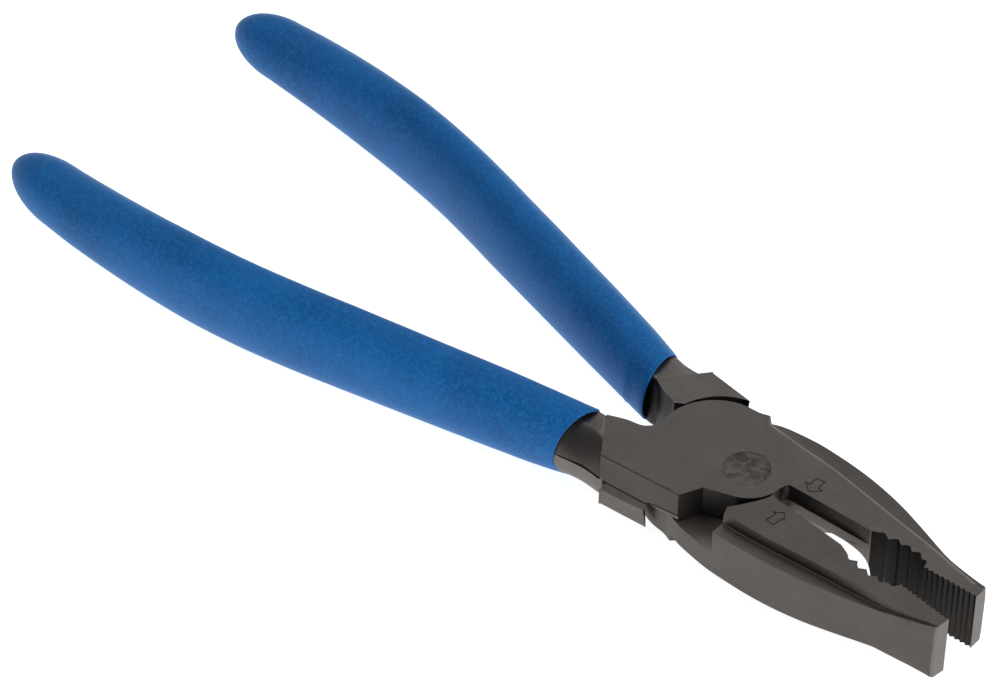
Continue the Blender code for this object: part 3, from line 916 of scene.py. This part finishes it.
# ---------------------------------------------------------------- object

# The halves' steel takes the light and shade painted into their faces; the rivet's varies in peened
# patches
steel = steel_material("forged_steel", STEEL, 0.46, True)
rivet_steel = steel_material("rivet_face_steel", RIVET_STEEL, 0.42, False)
vinyl = vinyl_material("blue_vinyl")

for label in ("upper", "lower"):
    half = build_half(label + "_half_steel", label)
    half.data.materials.clear()
    half.data.materials.append(steel)
    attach(half, label)
    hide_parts(label + "_half")
    sleeve = build_sleeve(label + "_half_vinyl", label)
    sleeve.data.materials.append(vinyl)
    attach(sleeve, label)
    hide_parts(label + "_half_sleeve")

rivet = build_rivet()
rivet.data.materials.append(rivet_steel)
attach(rivet, "upper")
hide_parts("pivot_rivet")

# ---------------------------------------------------------------- stage

FLOOR_REACH = 2.5

floor_z = cad_box[0][2]
builder = bmesh.new()
for x, y in ((-1, -1), (1, -1), (1, 1), (-1, 1)):
    builder.verts.new((x * FLOOR_REACH, y * FLOOR_REACH, floor_z))
builder.faces.new(builder.verts)
floor = new_object("floor", builder)
floor_material, _, floor_shader = node_tools("pale_floor")
floor_shader.inputs["Base Color"].default_value = (0.6, 0.6, 0.6, 1.0)
floor_shader.inputs["Roughness"].default_value = 0.9
floor_shader.inputs["Specular IOR Level"].default_value = 0.0
floor_shader.inputs["Emission Color"].default_value = (1.0, 1.0, 1.0, 1.0)
floor_shader.inputs["Emission Strength"].default_value = 0.9
floor.data.materials.append(floor_material)


def soft_light(name, azimuth, elevation, distance, size, power):
    """A soft box that faces the origin."""
    a = math.radians(azimuth)
    e = math.radians(elevation)
    data = bpy.data.lights.new(name, 'AREA')
    data.shape = 'RECTANGLE'
    data.size, data.size_y = size
    data.energy = power
    light = bpy.data.objects.new(name, data)
    light.location = (distance * math.cos(e) * math.cos(a), distance * math.cos(e) * math.sin(a),
                      distance * math.sin(e))
    light.rotation_euler = light.location.to_track_quat('Z', 'Y').to_euler()
    bpy.context.scene.collection.objects.link(light)


soft_light("softbox_left", -150.0, 60.0, 1.5, (1.2, 0.8), 4.0)
soft_light("softbox_right", 5.0, 30.0, 1.4, (1.0, 0.7), 12.0)
soft_light("softbox_back", 105.0, 40.0, 1.5, (1.6, 1.0), 4.6)

world = bpy.data.worlds.new("studio")
bpy.context.scene.world = world
world.use_nodes = True
world.node_tree.nodes["Background"].inputs["Color"].default_value = (0.22, 0.222, 0.225, 1.0)
world.node_tree.nodes["Background"].inputs["Strength"].default_value = 1.0
bpy.context.scene.view_settings.view_transform = 'Standard'

camera_data = bpy.data.cameras.new("camera")
camera_data.lens = 201.748
camera_data.sensor_width = 36.0
camera_data.clip_start = 0.05
camera = bpy.data.objects.new("camera", camera_data)
camera.location = (0.42250, -0.53725, 0.67215)
camera.rotation_euler = tuple(math.radians(a) for a in (47.12193, -1.33539, 43.01625))
bpy.context.scene.collection.objects.link(camera)
bpy.context.scene.camera = camera
